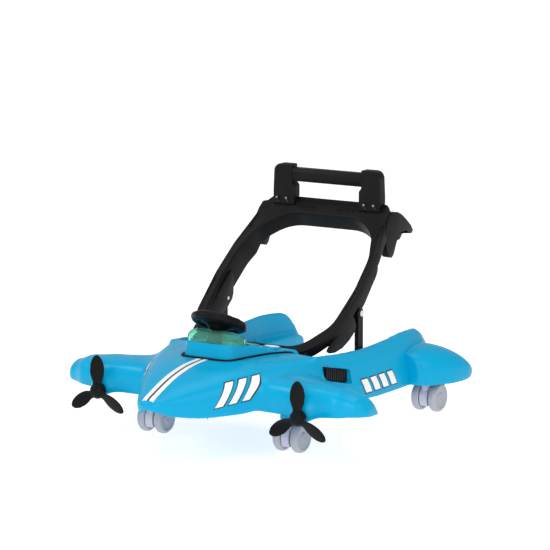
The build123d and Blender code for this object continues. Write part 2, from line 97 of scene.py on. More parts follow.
def new_group(name, inputs, output):
    """Start a node group with float inputs and one float output."""
    tree = bpy.data.node_groups.new(name, "ShaderNodeTree")
    for label, value in inputs.items():
        socket = tree.interface.new_socket(label, in_out="INPUT", socket_type="NodeSocketFloat")
        socket.default_value = value
    tree.interface.new_socket(output, in_out="OUTPUT", socket_type="NodeSocketFloat")
    return tree, tree.nodes.new("NodeGroupInput").outputs, tree.nodes.new("NodeGroupOutput")


def object_noise(tree, scale, detail=3.0, stretch=(1, 1, 1)):
    """Noise fixed to the piece, finer for a larger scale."""
    place = add_node(tree, "ShaderNodeTexCoord").outputs["Object"]
    mapped = add_node(tree, "ShaderNodeMapping", {"Vector": place, "Scale": stretch})
    noise = add_node(tree, "ShaderNodeTexNoise", {"Vector": mapped.outputs[0], "Scale": scale, "Detail": detail})
    return noise.outputs[0]


def remap(tree, value, low, high, to_low, to_high):
    """Map a value's range onto another one, clamped."""
    made = add_node(tree, "ShaderNodeMapRange", {0: value, 1: low, 2: high, 3: to_low, 4: to_high})
    return made.outputs[0]


def times(tree, a, b):
    """Product of two values."""
    return add_node(tree, "ShaderNodeMath", {0: a, 1: b}, operation="MULTIPLY").outputs[0]


# %% The five finish groups
grain_group, inlet, outlet = new_group("mould_grain", {"Scale": 900.0, "Depth": 1.0}, "Height")
grain_group.links.new(times(grain_group, object_noise(grain_group, inlet["Scale"], 2.0), inlet["Depth"]),
                      outlet.inputs["Height"])

drift_group, inlet, outlet = new_group("colour_drift", {"Scale": 9.0, "Amount": 0.1}, "Shade")
drift = remap(drift_group, object_noise(drift_group, inlet["Scale"]), 0.35, 0.65, 0.0, 1.0)
drift_group.links.new(times(drift_group, drift, inlet["Amount"]), outlet.inputs["Shade"])

wear_group, inlet, outlet = new_group("edge_wear", {"Scale": 60.0, "Amount": 0.5}, "Mask")
edge = add_node(wear_group, "ShaderNodeNewGeometry").outputs["Pointiness"]
rubbed = times(wear_group, remap(wear_group, edge, 0.52, 0.6, 0.0, 1.0),
               remap(wear_group, object_noise(wear_group, inlet["Scale"]), 0.4, 0.7, 0.2, 1.0))
wear_group.links.new(times(wear_group, rubbed, inlet["Amount"]), outlet.inputs["Mask"])

dust_group, inlet, outlet = new_group("settled_dust", {"Scale": 25.0, "Amount": 0.1}, "Mask")
facing = add_node(dust_group, "ShaderNodeSeparateXYZ",
                  {0: add_node(dust_group, "ShaderNodeNewGeometry").outputs["Normal"]}).outputs[2]
settled = times(dust_group, remap(dust_group, facing, 0.3, 1.0, 0.0, 1.0),
                remap(dust_group, object_noise(dust_group, inlet["Scale"], 6.0), 0.4, 0.75, 0.1, 1.0))
dust_group.links.new(times(dust_group, settled, inlet["Amount"]), outlet.inputs["Mask"])

scuff_group, inlet, outlet = new_group("hand_scuffs", {"Scale": 14.0, "Low": 0.3, "High": 0.45}, "Roughness")
scuffs = object_noise(scuff_group, inlet["Scale"], 8.0, (1, 0.35, 1))
scuff_group.links.new(
    add_node(scuff_group, "ShaderNodeMapRange",
             {0: scuffs, 1: 0.3, 2: 0.7, 3: inlet["Low"], 4: inlet["High"]}).outputs[0],
    outlet.inputs["Roughness"])
print("finish groups", [g.name for g in bpy.data.node_groups])


# %% [markdown]
# ## Plastics and metals
#
# One function makes every opaque finish. The maker chooses a colour, how
# glossy the mould was polished, how coarse the grain is, and how much wear and
# dust the piece would gather where it sits.

# %% Materials
def use_group(tree, group, **inputs):
    """Add a finish group and give its output socket."""
    made = tree.nodes.new("ShaderNodeGroup")
    made.node_tree = group
    for label, value in inputs.items():
        made.inputs[label].default_value = value
    return made.outputs[0]


def mix_colour(tree, factor, first, second):
    """Blend two colours by a factor."""
    made = add_node(tree, "ShaderNodeMix", {0: factor, 6: first, 7: second}, data_type="RGBA")
    return made.outputs[2]


def finish(name, colour, rough=0.35, spread=0.12, grain=900.0, depth=0.5, drift=0.12, wear=0.25,
           dust=0.06, metal=0.0, coat=0.0, gloss=0.5):
    """An opaque moulded or metal finish built from the shared groups."""
    made = bpy.data.materials.new(name)
    made.use_nodes = True
    tree = made.node_tree
    shader = tree.nodes["Principled BSDF"]
    darker = [c * 0.72 for c in colour] + [1]
    paler = [min(1, c * 1.25 + 0.05) for c in colour] + [1]
    body = mix_colour(tree, use_group(tree, drift_group, Amount=drift), [*colour, 1], darker)
    body = mix_colour(tree, use_group(tree, wear_group, Amount=wear), body, paler)
    body = mix_colour(tree, use_group(tree, dust_group, Amount=dust), body, (0.55, 0.54, 0.52, 1))
    tree.links.new(body, shader.inputs["Base Color"])
    tree.links.new(use_group(tree, scuff_group, Low=rough, High=rough + spread), shader.inputs["Roughness"])
    bump = add_node(tree, "ShaderNodeBump", {"Height": use_group(tree, grain_group, Scale=grain, Depth=depth),
                                             "Strength": 0.3, "Distance": 0.0003})
    tree.links.new(bump.outputs[0], shader.inputs["Normal"])
    shader.inputs["Metallic"].default_value = metal
    shader.inputs["Coat Weight"].default_value = coat
    shader.inputs["Specular IOR Level"].default_value = gloss
    made.diffuse_color = (*colour, 1)
    return made


FINISHES = {
    "blue_shell": dict(colour=(0.0, 0.345, 0.60), rough=0.22, depth=0.1, drift=0.08, wear=0.1, dust=0.01, gloss=0.15),
    "black_frame": dict(colour=(0.004, 0.004, 0.0045), rough=0.4, grain=1400, depth=1.0, wear=0.05, dust=0.004,
                        gloss=0.14),
    "black_trim": dict(colour=(0.005, 0.005, 0.006), rough=0.3, grain=1100, depth=0.6, wear=0.05, dust=0.006,
                       gloss=0.1),
    "white_plastic": dict(colour=(0.8, 0.8, 0.82), rough=0.22, depth=0.2, wear=0.1),
    "green_plastic": dict(colour=(0.01, 0.30, 0.17), rough=0.12, depth=0.1, coat=0.4),
    "pale_grey": dict(colour=(0.50, 0.51, 0.62), rough=0.32, depth=0.3),
    "wheel_grey": dict(colour=(0.40, 0.42, 0.47), rough=0.4, depth=0.8, drift=0.2, dust=0.12),
    "grey_plastic": dict(colour=(0.22, 0.23, 0.24), rough=0.45),
    "battery_sleeve": dict(colour=(0.08, 0.10, 0.25), rough=0.25),
    "circuit": dict(colour=(0.015, 0.16, 0.06), rough=0.4),
    "speaker_metal": dict(colour=(0.42, 0.42, 0.42), rough=0.4, metal=0.9),
    "steel": dict(colour=(0.62, 0.62, 0.62), rough=0.22, grain=500, depth=0.6, metal=1.0),
}
SLOT_FINISH = {slot: finish(slot, **look) for slot, look in FINISHES.items()}
sticker_white = finish("sticker_white", (0.83, 0.84, 0.85), rough=0.28, depth=0.1, drift=0.04, wear=0.05)
sticker_black = finish("sticker_black", (0.012, 0.012, 0.014), rough=0.3, depth=0.1, wear=0.05)
print("finishes", len(SLOT_FINISH) + 2)

# %% [markdown]
# ## Clear green styrene
#
# The dome over the dials is thin tinted styrene. Light passes through it, so
# it is a transmissive shader with a little haze and hairline scratches.

# %% Clear material
clear = bpy.data.materials.new("clear_green")
clear.use_nodes = True
shader = clear.node_tree.nodes["Principled BSDF"]
tint = mix_colour(clear.node_tree, use_group(clear.node_tree, drift_group, Amount=0.3),
                  (0.45, 0.95, 0.80, 1), (0.22, 0.85, 0.62, 1))
clear.node_tree.links.new(tint, shader.inputs["Base Color"])
clear.node_tree.links.new(use_group(clear.node_tree, scuff_group, Low=0.02, High=0.10), shader.inputs["Roughness"])
shader.inputs["Transmission Weight"].default_value = 0.9
shader.inputs["IOR"].default_value = 1.12
SLOT_FINISH["clear_green"] = clear
print("clear finish", clear.name)

# %% [markdown]
# ## Give the CAD parts their finishes
#
# Pins, axles, screws, buttons and other exact parts stay as they are in CAD.
# Each takes the finish of its slot in the record.

# %% Finish the CAD nodes
for entry in frame["record"]["subparts"]:
    part = frame["nodes"][entry["node"]]
    part.data.materials.clear()
    part.data.materials.append(SLOT_FINISH[entry["material_slot"]])


# %% [markdown]
# ## Making skins
#
# Every skin starts as sections drawn across the piece, joined into a closed
# body. Bodies that grow into each other are fused by a voxel remesh, which
# also allows a soft fillet: grow the fused body, fuse it again, and shrink it
# back. A short smoothing then rounds every edge the way a mould does.

# %% Mesh helpers
MODIFIED_SHARP_ANGLE = 50


def add_object(name, data):
    """New object in the scene."""
    made = bpy.data.objects.new(name, data)
    bpy.context.scene.collection.objects.link(made)
    return made


def add_mesh(name, points, faces):
    """New object from points in millimetres."""
    mesh = bpy.data.meshes.new(name)
    mesh.from_pydata((np.array(points) * MM).tolist(), [], [list(map(int, f)) for f in faces])
    mesh.update()
    return add_object(name, mesh)


def shade(piece, sharp_angle):
    """Smooth shading, with edges sharper than the angle kept crisp."""
    piece.data.shade_smooth()
    piece.data.set_sharp_from_angle(angle=radians(sharp_angle))
    return piece


def face_outwards(piece):
    """Turn every face of a piece to look outwards."""
    work = bmesh.new()
    work.from_mesh(piece.data)
    bmesh.ops.recalc_face_normals(work, faces=work.faces)
    work.to_mesh(piece.data)
    work.free()
    return piece


def span(side, near, far):
    """Two X positions mirrored onto a side, lowest first."""
    return sorted((side * near, side * far))


def full_turn(count):
    """Evenly spread angles round a circle."""
    return np.linspace(0, 2 * pi, count, endpoint=False)


def bake(piece):
    """Keep what the modifiers made as the piece's own mesh."""
    shaped = piece.evaluated_get(bpy.context.evaluated_depsgraph_get())
    piece.data = bpy.data.meshes.new_from_object(shaped)
    piece.data.name = piece.name
    piece.modifiers.clear()
    return shade(piece, MODIFIED_SHARP_ANGLE)


def modify(piece, kind, **settings):
    """Add a modifier and keep its result."""
    made = piece.modifiers.new(kind.lower(), kind)
    for option, value in settings.items():
        setattr(made, option, value)
    return bake(piece)


def cut(piece, cutter):
    """Take a cutter's shape out of a piece."""
    modify(piece, "BOOLEAN", object=cutter, operation="DIFFERENCE", solver="EXACT")
    bpy.data.objects.remove(cutter)


def fuse(piece, voxel, fillet=0.0, rounds=6):
    """Fuse overlapping bodies, fill inside corners with a fillet, and soften the edges."""
    modify(piece, "REMESH", mode="VOXEL", voxel_size=voxel * MM)
    if fillet:
        modify(piece, "DISPLACE", mid_level=0.0, strength=fillet * MM)
        modify(piece, "REMESH", mode="VOXEL", voxel_size=voxel * MM)
        modify(piece, "DISPLACE", mid_level=0.0, strength=-fillet * MM)
    return modify(piece, "SMOOTH", factor=0.5, iterations=rounds)


def loft(name, sections):
    """Closed body through loops that all have the same number of points."""
    loops = np.array(sections, float)
    count, size = loops.shape[:2]
    points = [*loops.reshape(-1, 3), loops[0].mean(0), loops[-1].mean(0)]
    faces = []
    for i in range(count - 1):
        for k in range(size):
            n = (k + 1) % size
            faces.append((i * size + k, i * size + n, (i + 1) * size + n, (i + 1) * size + k))
    for k in range(size):
        n = (k + 1) % size
        faces.append((count * size, n, k))
        faces.append((count * size + 1, (count - 1) * size + k, (count - 1) * size + n))
    return face_outwards(add_mesh(name, points, faces))


def join(name, pieces):
    """One object from several."""
    whole = bmesh.new()
    for part in pieces:
        part.data.transform(part.matrix_world)
        whole.from_mesh(part.data)
    mesh = bpy.data.meshes.new(name)
    whole.to_mesh(mesh)
    whole.free()
    for part in pieces:
        bpy.data.objects.remove(part)
    return add_object(name, mesh)


def mirrored(piece, name):
    """The left-hand twin of a right-hand piece."""
    twin = piece.copy()
    twin.data = piece.data.copy()
    twin.name = name
    twin.data.transform(Matrix.Scale(-1, 4, (1, 0, 0)))
    twin.data.flip_normals()
    bpy.context.scene.collection.objects.link(twin)
    return twin


def place(piece, body, slot, *nodes, material=None):
    """Colour a piece, attach it to its body, and hide the CAD nodes it stands for."""
    piece.data.materials.clear()
    piece.data.materials.append(material or SLOT_FINISH[slot])
    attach(piece, body)
    if nodes:
        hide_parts(*nodes)
    return piece


def glide(table, column, at):
    """Smooth curve through one column of a station table, with no overshoot."""
    x, y = table[:, 0], table[:, column]
    step, slope = np.diff(x), np.diff(y) / np.diff(x)
    lean = np.zeros_like(y)
    product = slope[:-1] * slope[1:]
    lean[1:-1] = np.where(product > 0, 2 * product / np.where(product > 0, slope[:-1] + slope[1:], 1), 0)
    lean[0], lean[-1] = slope[0], slope[-1]
    i = np.clip(np.searchsorted(x, at) - 1, 0, len(step) - 1)
    t = (at - x[i]) / step[i]
    return ((1 + 2 * t) * (1 - t) ** 2 * y[i] + t * (1 - t) ** 2 * step[i] * lean[i]
            + t * t * (3 - 2 * t) * y[i + 1] + t * t * (t - 1) * step[i] * lean[i + 1])


def smooth_loop(points, count):
    """Closed smooth curve through points, with evenly spread samples."""
    p = np.array(points, float)
    t = np.arange(count) / count * len(p)
    i = t.astype(int)
    u = (t - i)[:, None]
    a, b, c, d = (p[(i + k) % len(p)] for k in (-1, 0, 1, 2))
    return 0.5 * (2 * b + (c - a) * u + (2 * a - 5 * b + 4 * c - d) * u ** 2 + (3 * b - a - 3 * c + d) * u ** 3)


# %% [markdown]
# ## The blue hull
#
# The real hull is one moulding: a rounded nose, two blunt wings with round
# nacelles, and two side arms that end as low tails. Each is drawn here as a
# body through a few stations, in millimetres. The nose uses superellipse
# sections, nearly round in front and nearly square under the console.

# %% Hull stations
WALL = 3.0
# Y, bottom half width, bottom Z, widest half width, its Z, crown Z, squareness
NOSE = np.array([
    (-354, 3, 104, 8, 108, 111.5, 2.0), (-350, 11, 97, 18, 107.5, 115, 2.0), (-342, 20, 90.5, 27, 107, 119, 2.1),
    (-330, 29, 85.5, 35, 106, 124, 2.2), (-314, 38, 81, 45, 105, 130.5, 2.3), (-297, 47, 77.5, 56, 104, 137, 2.4),
    (-277, 58, 74.5, 68, 104, 143.5, 2.5), (-254, 70, 73, 81, 104, 149, 2.6), (-225, 84, 72.5, 95, 104, 154, 3.1),
    (-195, 96, 72, 108, 104, 156, 3.8), (-172, 103, 72, 117, 104, 157, 4.4), (-130, 112, 72, 134, 104, 156.5, 5.3),
    (-100, 116, 71, 146, 104, 156, 6.2), (-48, 124, 68, 158, 103, 156, 9.0)])
# Y, inner X, inner Z, outer X, outer Z, wall top X, wall top Z, wall face X, ledge Z
ARM = np.array([
    (-60, 112, 70, 158, 68, 152, 155, 146, 126), (-30, 114, 68, 164, 66, 152.5, 153, 147, 120),
    (15, 119, 66, 172, 64, 153.5, 149, 149.2, 108), (95, 120, 62, 181, 60, 154, 145, 149.8, 104),
    (170, 120.5, 61, 182, 59.5, 152.5, 146.5, 148.4, 104), (240, 121, 60, 180, 59, 150, 150.5, 146.8, 104),
    (290, 121, 60, 174, 59, 144.5, 148, 140, 104), (312, 121, 62, 168, 60, 142, 140, 137.5, 103),
    (330, 122, 64, 162, 62, 140.5, 124, 136, 102), (342, 123, 68, 157, 66, 140, 108, 135, 97),
    (350, 124, 74, 152, 72, 139, 96, 134, 90)])
# X, front Y, rear Y, bottom Z, top Z, ridge Y
WING = np.array([
    (90, -184, 4, 76, 137, -128), (150, -186, 20, 76, 137, -134), (206, -190, -30, 76, 136, -144),
    (252, -184, -72, 79, 132, -146), (288, -168, -94, 80, 121, -140), (301, -158, -101, 81, 111, -133),
    (307, -148, -106, 82, 102, -130)])


# %% Hull sections
def nose_loop(y):
    """One section across the nose, counted round from the middle of the floor."""
    wb, zb, wm, zm, zt, n = (glide(NOSE, c, y) for c in range(1, 7))
    turn = np.linspace(0, pi / 2, 14)
    low = [(wb + (wm - wb) * np.sin(a) ** 1.2, zm - (zm - zb) * np.cos(a)) for a in turn[:-1]]
    high = [(wm * np.cos(a) ** (2 / n), zm + (zt - zm) * np.sin(a) ** (2 / n)) for a in turn]
    right = [(x, y, z) for x, z in low + high]
    return right + [(-x, y, z) for x, _, z in reversed(right[:-1])]


def arm_loop(y, ledge=True):
    """One section across the right arm: a tall outer wall, and the ledge inside it."""
    xi, zi, xo, zo, xt, zt, xf, zl = (glide(ARM, c, y) for c in range(1, 9))
    inner = [(xf, y, zl), (xi, y, zl), (xi, y, zi)] if ledge else [(xf, y, zl), (xf, y, zi + 1), (xf + 1, y, zi)]
    side, rise = xo - xt, zt - zo
    return [(xo, y, zo), (xo - 0.08 * side, y, zo + 0.3 * rise), (xo - 0.42 * side, y, zo + 0.76 * rise),
            (xt + 0.24 * side, y, zt - 0.05 * rise), (xt, y, zt), (xf, y, zt)] + inner


def wing_loop(x):
    """One section along the right wing, blunt in front and sloping down behind its ridge."""
    front, rear, low, top, ridge = (glide(WING, c, x) for c in range(1, 6))
    rise = top - low
    return smooth_loop([(x, front + 10, low), (x, front + 1.5, low + 0.2 * rise), (x, front, low + 0.5 * rise),
                        (x, front + 4, low + 0.78 * rise), (x, front + 16, low + 0.94 * rise), (x, ridge, top),
                        (x, ridge + 0.28 * (rear - ridge), low + 0.9 * rise),
                        (x, 0.5 * (ridge + rear), low + 0.66 * rise), (x, rear - 6, low + 0.2 * rise),
                        (x, rear, low), (x, 0.5 * (front + rear), low)], 66)


nose = loft("nose", [nose_loop(y) for y in np.linspace(NOSE[0, 0], NOSE[-1, 0], 70)])
wall_right = loft("wall_right", [arm_loop(y, ledge=False) for y in np.linspace(ARM[0, 0], ARM[-1, 0], 60)])
wing_right = loft("wing_right", [wing_loop(x) for x in np.linspace(WING[0, 0], WING[-1, 0], 56)])
PIN_RADIUS, NACELLE_LIFT = 3, 6
NACELLE = [(-196, 13), (-193, 18), (-188, 21), (-170, 22), (-140, 19), (-120, 12)]  # Y, radius
hub_z = middle("propeller_pins")[2]
hub_x = corners("propeller_pins")[1][0] - PIN_RADIUS
nacelle = loft("nacelle", [[(hub_x + r * cos(a), y, hub_z + NACELLE_LIFT + r * sin(a)) for a in full_turn(40)]
                           for y, r in NACELLE])
halves = [wall_right, wing_right, nacelle]
hull = join("hull", [nose] + halves + [mirrored(h, "twin") for h in halves])
fuse(hull, 3.0, fillet=14, rounds=14)
print("hull skin", len(hull.data.vertices), "points")

# %% [markdown]
# The ledges inside the arms and the low floor behind the deck have crisper
# inside corners than the wing roots, so they join after the big fillet. The
# vents sit in shallow pockets. Those, the slots for the struts' feet and the
# wells under the white buttons are cut while the skin is still closed.

# %% Ledges, trough and pockets
ledge_right = loft("ledge_right", [arm_loop(y) for y in np.linspace(ARM[0, 0] + 2, ARM[-1, 0] - 1, 60)])


def box_body(name, low, high):
    """Plain box between two corners, for fusing or cutting."""
    (x0, y0, z0), (x1, y1, z1) = low, high
    return loft(name, [[(x0, y, z0), (x1, y, z0), (x1, y, z1), (x0, y, z1)] for y in (y0, y1)])


TROUGH_HALF, TROUGH_FRONT, TROUGH_REAR, TROUGH_BOTTOM = 128, -70, 15, 68
trough_top = corners("hinge_brackets")[0][2]
trough = box_body("trough", (-TROUGH_HALF, TROUGH_FRONT, TROUGH_BOTTOM), (TROUGH_HALF, TROUGH_REAR, trough_top))
hull = join("hull", [hull, ledge_right, mirrored(ledge_right, "twin"), trough])
fuse(hull, 2.0, fillet=3, rounds=16)

VENT_FRONT, VENT_REAR, VENT_FALL = -46.0, 26.0, 17
VENT_LOW, VENT_HIGH, VENT_DEPTH_X, VENT_CLEAR_X = 112, 138, 158, 200
SLOT_Y, SLOT_Z = (86, 212), (84, 118)
SLOT_INNER_GAP, SLOT_OUTER_GAP = 2.0, 0.8
WELL_RADIUS, WELL_BELOW, WELL_ABOVE = 15.5, 14, 12


def vent_band(y, low, high):
    """Heights of the vent's lower and upper edge, sloping down towards the tail."""
    fall = VENT_FALL * (y - VENT_FRONT) / (VENT_REAR - VENT_FRONT)
    return low - fall, high - fall


def vent_slab(name, side, margin, x0, x1, low_z, high_z):
    """Slab that follows the vent's slope between two X positions."""
    sections = []
    for y in (VENT_FRONT - margin, VENT_REAR + margin):
        low, high = vent_band(y, low_z, high_z)
        sections.append([(side * x, y, z) for x, z in ((x0, low), (x1, low), (x1, high), (x0, high))])
    return loft(name, sections)


def vent_cutter(side):
    """Pocket for one vent, open outwards."""
    slab = vent_slab("pocket", side, 3, VENT_DEPTH_X, VENT_CLEAR_X, VENT_LOW, VENT_HIGH)
    return modify(slab, "BEVEL", width=4 * MM, segments=3)


def strut_cutter(side):
    """Slot in the ledge that a strut's foot folds into."""
    strut_low, strut_high = corners("right_strut")
    x = span(side, strut_low[0] - SLOT_INNER_GAP, strut_high[0] + SLOT_OUTER_GAP)
    slot = box_body("slot", (x[0], SLOT_Y[0], SLOT_Z[0]), (x[1], SLOT_Y[1], SLOT_Z[1]))
    return modify(slot, "BEVEL", width=2 * MM, segments=3)


def button_cutter(side):
    """Well in the deck under a white button."""
    x, y, z = middle("right_white_button")
    return loft("well", [[(side * (x + WELL_RADIUS * cos(a)), y + WELL_RADIUS * sin(a), h) for a in full_turn(32)]
                         for h in (z - WELL_BELOW, z + WELL_ABOVE)])


for side in SIDES.values():
    for cutter in (vent_cutter(side), strut_cutter(side), button_cutter(side)):
        cut(hull, cutter)
print("hull with pockets", len(hull.data.vertices), "points")

# %% [markdown]
# The moulding is open underneath. Its floor is taken away where the skin faces
# down, the cut edge is evened out, and the rest gets a 3 mm wall.

# %% Open the underside
def surface(piece):
    """Search tree over a piece's surface, in metres."""
    return BVHTree.FromObject(piece, bpy.context.evaluated_depsgraph_get())


def open_below(piece, lean=-0.55, rounds=12):
    """Remove the floor of a closed skin, even out the rim and give the skin its wall."""
    work = bmesh.new()
    work.from_mesh(piece.data)
    middle_z = 0.5 * (min(v.co.z for v in work.verts) + max(v.co.z for v in work.verts))
    floor_faces = [f for f in work.faces if f.normal.z < lean and f.calc_center_median().z < middle_z]
    bmesh.ops.delete(work, geom=floor_faces, context="FACES")
    loose = [e for e in work.edges if e.is_wire]
    bmesh.ops.delete(work, geom=loose, context="EDGES")
    rim = [v for v in work.verts if v.is_boundary]
    for _ in range(rounds):
        moved = {}
        for v in rim:
            near = [e.other_vert(v).co for e in v.link_edges if e.is_boundary]
            if len(near) == 2:
                moved[v] = 0.5 * v.co + 0.25 * (near[0] + near[1])
        for v, spot in moved.items():
            v.co = spot
    work.to_mesh(piece.data)
    work.free()
    return modify(piece, "SOLIDIFY", thickness=WALL * MM, offset=-1)


skin_tree = surface(hull)
open_below(hull)
place(hull, "base", "blue_shell", "base_shell")
hull.name = "hull_skin"
print("hull box", [round(v / MM, 1) for v in hull.dimensions])

# %% [markdown]
# ## Tail pods
#
# The tails bulge outwards over the rear casters. They are separate mouldings
# that clip onto the arms, so each keeps its own skin and a visible seam.

# %% Tail pods
# Y, inner X, outer X, bottom Z, top Z
POD = np.array([
    (215, 161, 199, 60, 117), (224, 159, 209, 58, 121), (240, 157, 219, 57, 125), (270, 153, 233, 56, 127),
    (300, 150, 241, 56, 122), (322, 150, 243, 56, 112), (338, 152, 241, 57, 100), (348, 160, 234, 60, 89),
    (352.5, 172, 225, 63, 81), (354, 186, 214, 67, 75)])


def pod_loop(y):
    """One section of the right tail pod: flat below, domed on the outside."""
    inner, outer, low, top = (glide(POD, c, y) for c in range(1, 5))
    waist = low + 0.32 * (top - low)
    turn = np.linspace(0, pi / 2, 16)
    dome = [(inner + (outer - inner) * cos(a) ** 0.8, y, waist + (top - waist) * sin(a) ** 0.8) for a in turn]
    skirt = [(outer - 5 * sin(a) ** 2, y, waist - (waist - low) * sin(a)) for a in turn[1:]]
    return dome + [(inner, y, waist), (inner, y, low), (0.5 * (inner + outer), y, low)] + skirt[::-1]


pod = loft("right_tail_skin", [pod_loop(y) for y in np.linspace(POD[0, 0], POD[-1, 0], 70)])
fuse(pod, 1.6, rounds=10)
left_pod = mirrored(pod, "left_tail_skin")
for side, piece in (("right", pod), ("left", left_pod)):
    open_below(piece)
    place(piece, "base", "blue_shell", f"{side}_tail_pod")
print("tail pod box", [round(v / MM, 1) for v in pod.dimensions])

# %% [markdown]
# ## Side vents
#
# A black grille fills each pocket at the wing root. Its ribs are upright bars
# that follow the slope, over a thin back plate.

# %% Side vents
RIBS, RIB_X, PLATE_X = 10, (158.2, 163.5), (157.6, 160)


def rounded_bar(name, low, high, radius):
    """Box with rounded edges between two corners."""
    return modify(box_body(name, low, high), "BEVEL", width=radius * MM, segments=3)


def vent(side):
    """One ribbed grille."""
    bars = []
    pitch = (VENT_REAR - VENT_FRONT) / RIBS
    for i in range(RIBS):
        y = VENT_FRONT + (i + 0.15) * pitch
        low, high = vent_band(y + 0.35 * pitch, VENT_LOW + 2, VENT_HIGH - 2)
        x = span(side, *RIB_X)
        bars.append(rounded_bar("rib", (x[0], y, low), (x[1], y + 0.66 * pitch, high), 1.4))
    back_plate = vent_slab("plate", side, 1, *PLATE_X, VENT_LOW + 1, VENT_HIGH - 1)
    return join("vent", bars + [modify(back_plate, "BEVEL", width=0.5 * MM, segments=2)])


for name, side in SIDES.items():
    grille = vent(side)
    grille.name = f"{name}_vent_grille"
    shade(grille, 40)
    place(grille, "base", "black_trim", f"{name}_side_vent")
print("two grilles with", RIBS, "ribs each")

# %% [markdown]
# ## Console
#
# The raised blue cowl carries the steering column and the buttons. Its foot
# follows a wing-shaped outline and its roof slopes back, so it is lofted from
# the foot to a slightly smaller roof and then softened.

# %% Console cowl
FOOT_FRONT, FOOT_BACK = -177, -38
FOOT = [(0, FOOT_FRONT), (30, FOOT_FRONT), (44, -174), (51, -164), (55, -136), (62, -104), (70, -79), (86, -57),
        (106, -41), (104, FOOT_BACK), (60, FOOT_BACK), (0, FOOT_BACK)]
ROOF_FRONT, ROOF_START, ROOF_SLOPE = 184.0, -176, radians(10.2)


def roof_height(y):
    """Height of the console's sloping roof."""
    return ROOF_FRONT - (y - ROOF_START) * tan(ROOF_SLOPE)


def console_ring(inset, height):
    """Closed outline of the console at one height, shrunk towards its middle line."""
    right = [(max(0, x - inset), min(max(y, FOOT_FRONT + inset), FOOT_BACK - inset)) for x, y in FOOT]
    outline = right + [(-x, y) for x, y in reversed(right[1:-1])]
    return [(x, y, height(y)) for x, y in outline]


cowl = loft("console_cowl", [console_ring(0, lambda y: 146), console_ring(0.5, lambda y: 154),
                             console_ring(4.5, roof_height)])
fuse(cowl, 1.5, rounds=5)
place(cowl, "base", "blue_shell", "console_shell")
print("console box", [round(v / MM, 1) for v in cowl.dimensions])

# %% [markdown]
# A black bead runs round the console's foot and hides the seam. It is a tube
# drawn along the foot, lowered onto the hull's own skin point by point.

# %% Trim bead
def on_skin(x, y, lift):
    """Point on the hull below (x, y), lifted along the surface normal, in millimetres."""
    hit, normal, _, _ = skin_tree.ray_cast(Vector((x, y, 400)) * MM, Vector((0, 0, -1)))
    return np.array(hit) / MM + np.array(normal) * lift


def tube(name, path, radius, sides=12):
    """Round tube along a path."""
    path = np.array(path, float)
    ahead = np.gradient(path, axis=0)
    ahead /= np.linalg.norm(ahead, axis=1)[:, None]
    across = np.cross(ahead, (0, 0, 1.0))
    across /= np.linalg.norm(across, axis=1)[:, None]
    upward = np.cross(across, ahead)
    turn = full_turn(sides)
    loops = path[:, None] + radius * (np.cos(turn)[None, :, None] * across[:, None]
                                      + np.sin(turn)[None, :, None] * upward[:, None])
    made = loft(name, loops)
    made.data.shade_smooth()
    return made


def dense(points, step):
    """More points along a path, evenly spaced."""
    p = np.array(points, float)
    along = np.concatenate([[0], np.cumsum(np.linalg.norm(np.diff(p, axis=0), axis=1))])
    at = np.linspace(0, along[-1], int(along[-1] / step) + 2)
    return np.stack([np.interp(at, along, p[:, k]) for k in range(p.shape[1])], axis=1)


def relax(path, rounds):
    """Round a path's corners."""
    for _ in range(rounds):
        path[1:-1] = 0.5 * path[1:-1] + 0.25 * (path[:-2] + path[2:])
    return path


right_foot = [(x + 3 if x else 0, y - (3 if x < 50 and y < -170 else 0)) for x, y in FOOT[:9]]
foot_path = [(-x, y) for x, y in reversed(right_foot[1:])] + right_foot
foot_path = relax(dense(foot_path, 3.0), 6)
bead = tube("console_bead", [on_skin(x, y, 0.6) for x, y in foot_path], 2.4)
place(bead, "base", "black_trim", "console_trim")
print("bead points", len(foot_path))


# %% [markdown]
# ## Round parts
#
# Wheels, hubs, bosses and buttons are all turned shapes. One function spins a
# profile of (radius, position along the axis) round any axis.

# %% Turned parts
def turned(name, profile, origin, axis, segments=72):
    """Spin a closed profile round an axis."""
    axis = Vector(axis).normalized()
    side = axis.orthogonal().normalized()
    third = axis.cross(side)
    turn = full_turn(segments)
    rings = [[np.array(origin) + r * (cos(a) * np.array(side) + sin(a) * np.array(third)) + t * np.array(axis)
              for a in turn] for r, t in profile]
    return shade(loft(name, rings), 35)


# %% [markdown]
# ## Caster wheels
#
# Each caster has two wheels. A wheel has a slightly crowned tread with
# bevelled shoulders, a dished outer face with a raised hub, and a rim groove.

# %% Caster wheels
CASTERS = ("front_right", "front_left", "rear_right", "rear_left")


def caster_wheel(caster, which):
    """One wheel, its dished face turned away from the caster's hood."""
    node = f"{caster}_{which}_wheel"
    low, high = corners(node)
    centre = 0.5 * (low + high)
    radius = 0.5 * (high[2] - low[2])
    half = 0.5 * (high[0] - low[0])
    hood_x = middle(f"{caster}_frame")[0]
    outward = 1 if centre[0] > hood_x else -1
    profile = [(2.6, -half + 0.5), (radius - 6, -half + 0.5), (radius - 3.5, -half), (radius - 0.6, -half + 3.2),
               (radius - 0.05, -1.5), (radius - 0.05, 1.5), (radius - 0.6, half - 3.2), (radius - 3.5, half),
               (radius - 6.5, half), (radius - 7.5, half - 1.2), (radius - 8.5, half - 1.4),
               (9.5, half - 2.2), (8.6, half - 0.9), (6.8, half - 0.2), (4.2, half - 0.2), (3.6, half - 1.0),
               (2.6, half - 1.0)]
    wheel = turned(f"{node}_tread", profile, centre, (outward, 0, 0), 96)
    return place(wheel, node, "wheel_grey", node)


for caster in CASTERS:
    for which in ("inner", "outer"):
        caster_wheel(caster, which)
print("wheel radius", round(corners("front_right_inner_wheel")[1][2] / 2, 2), "mm")

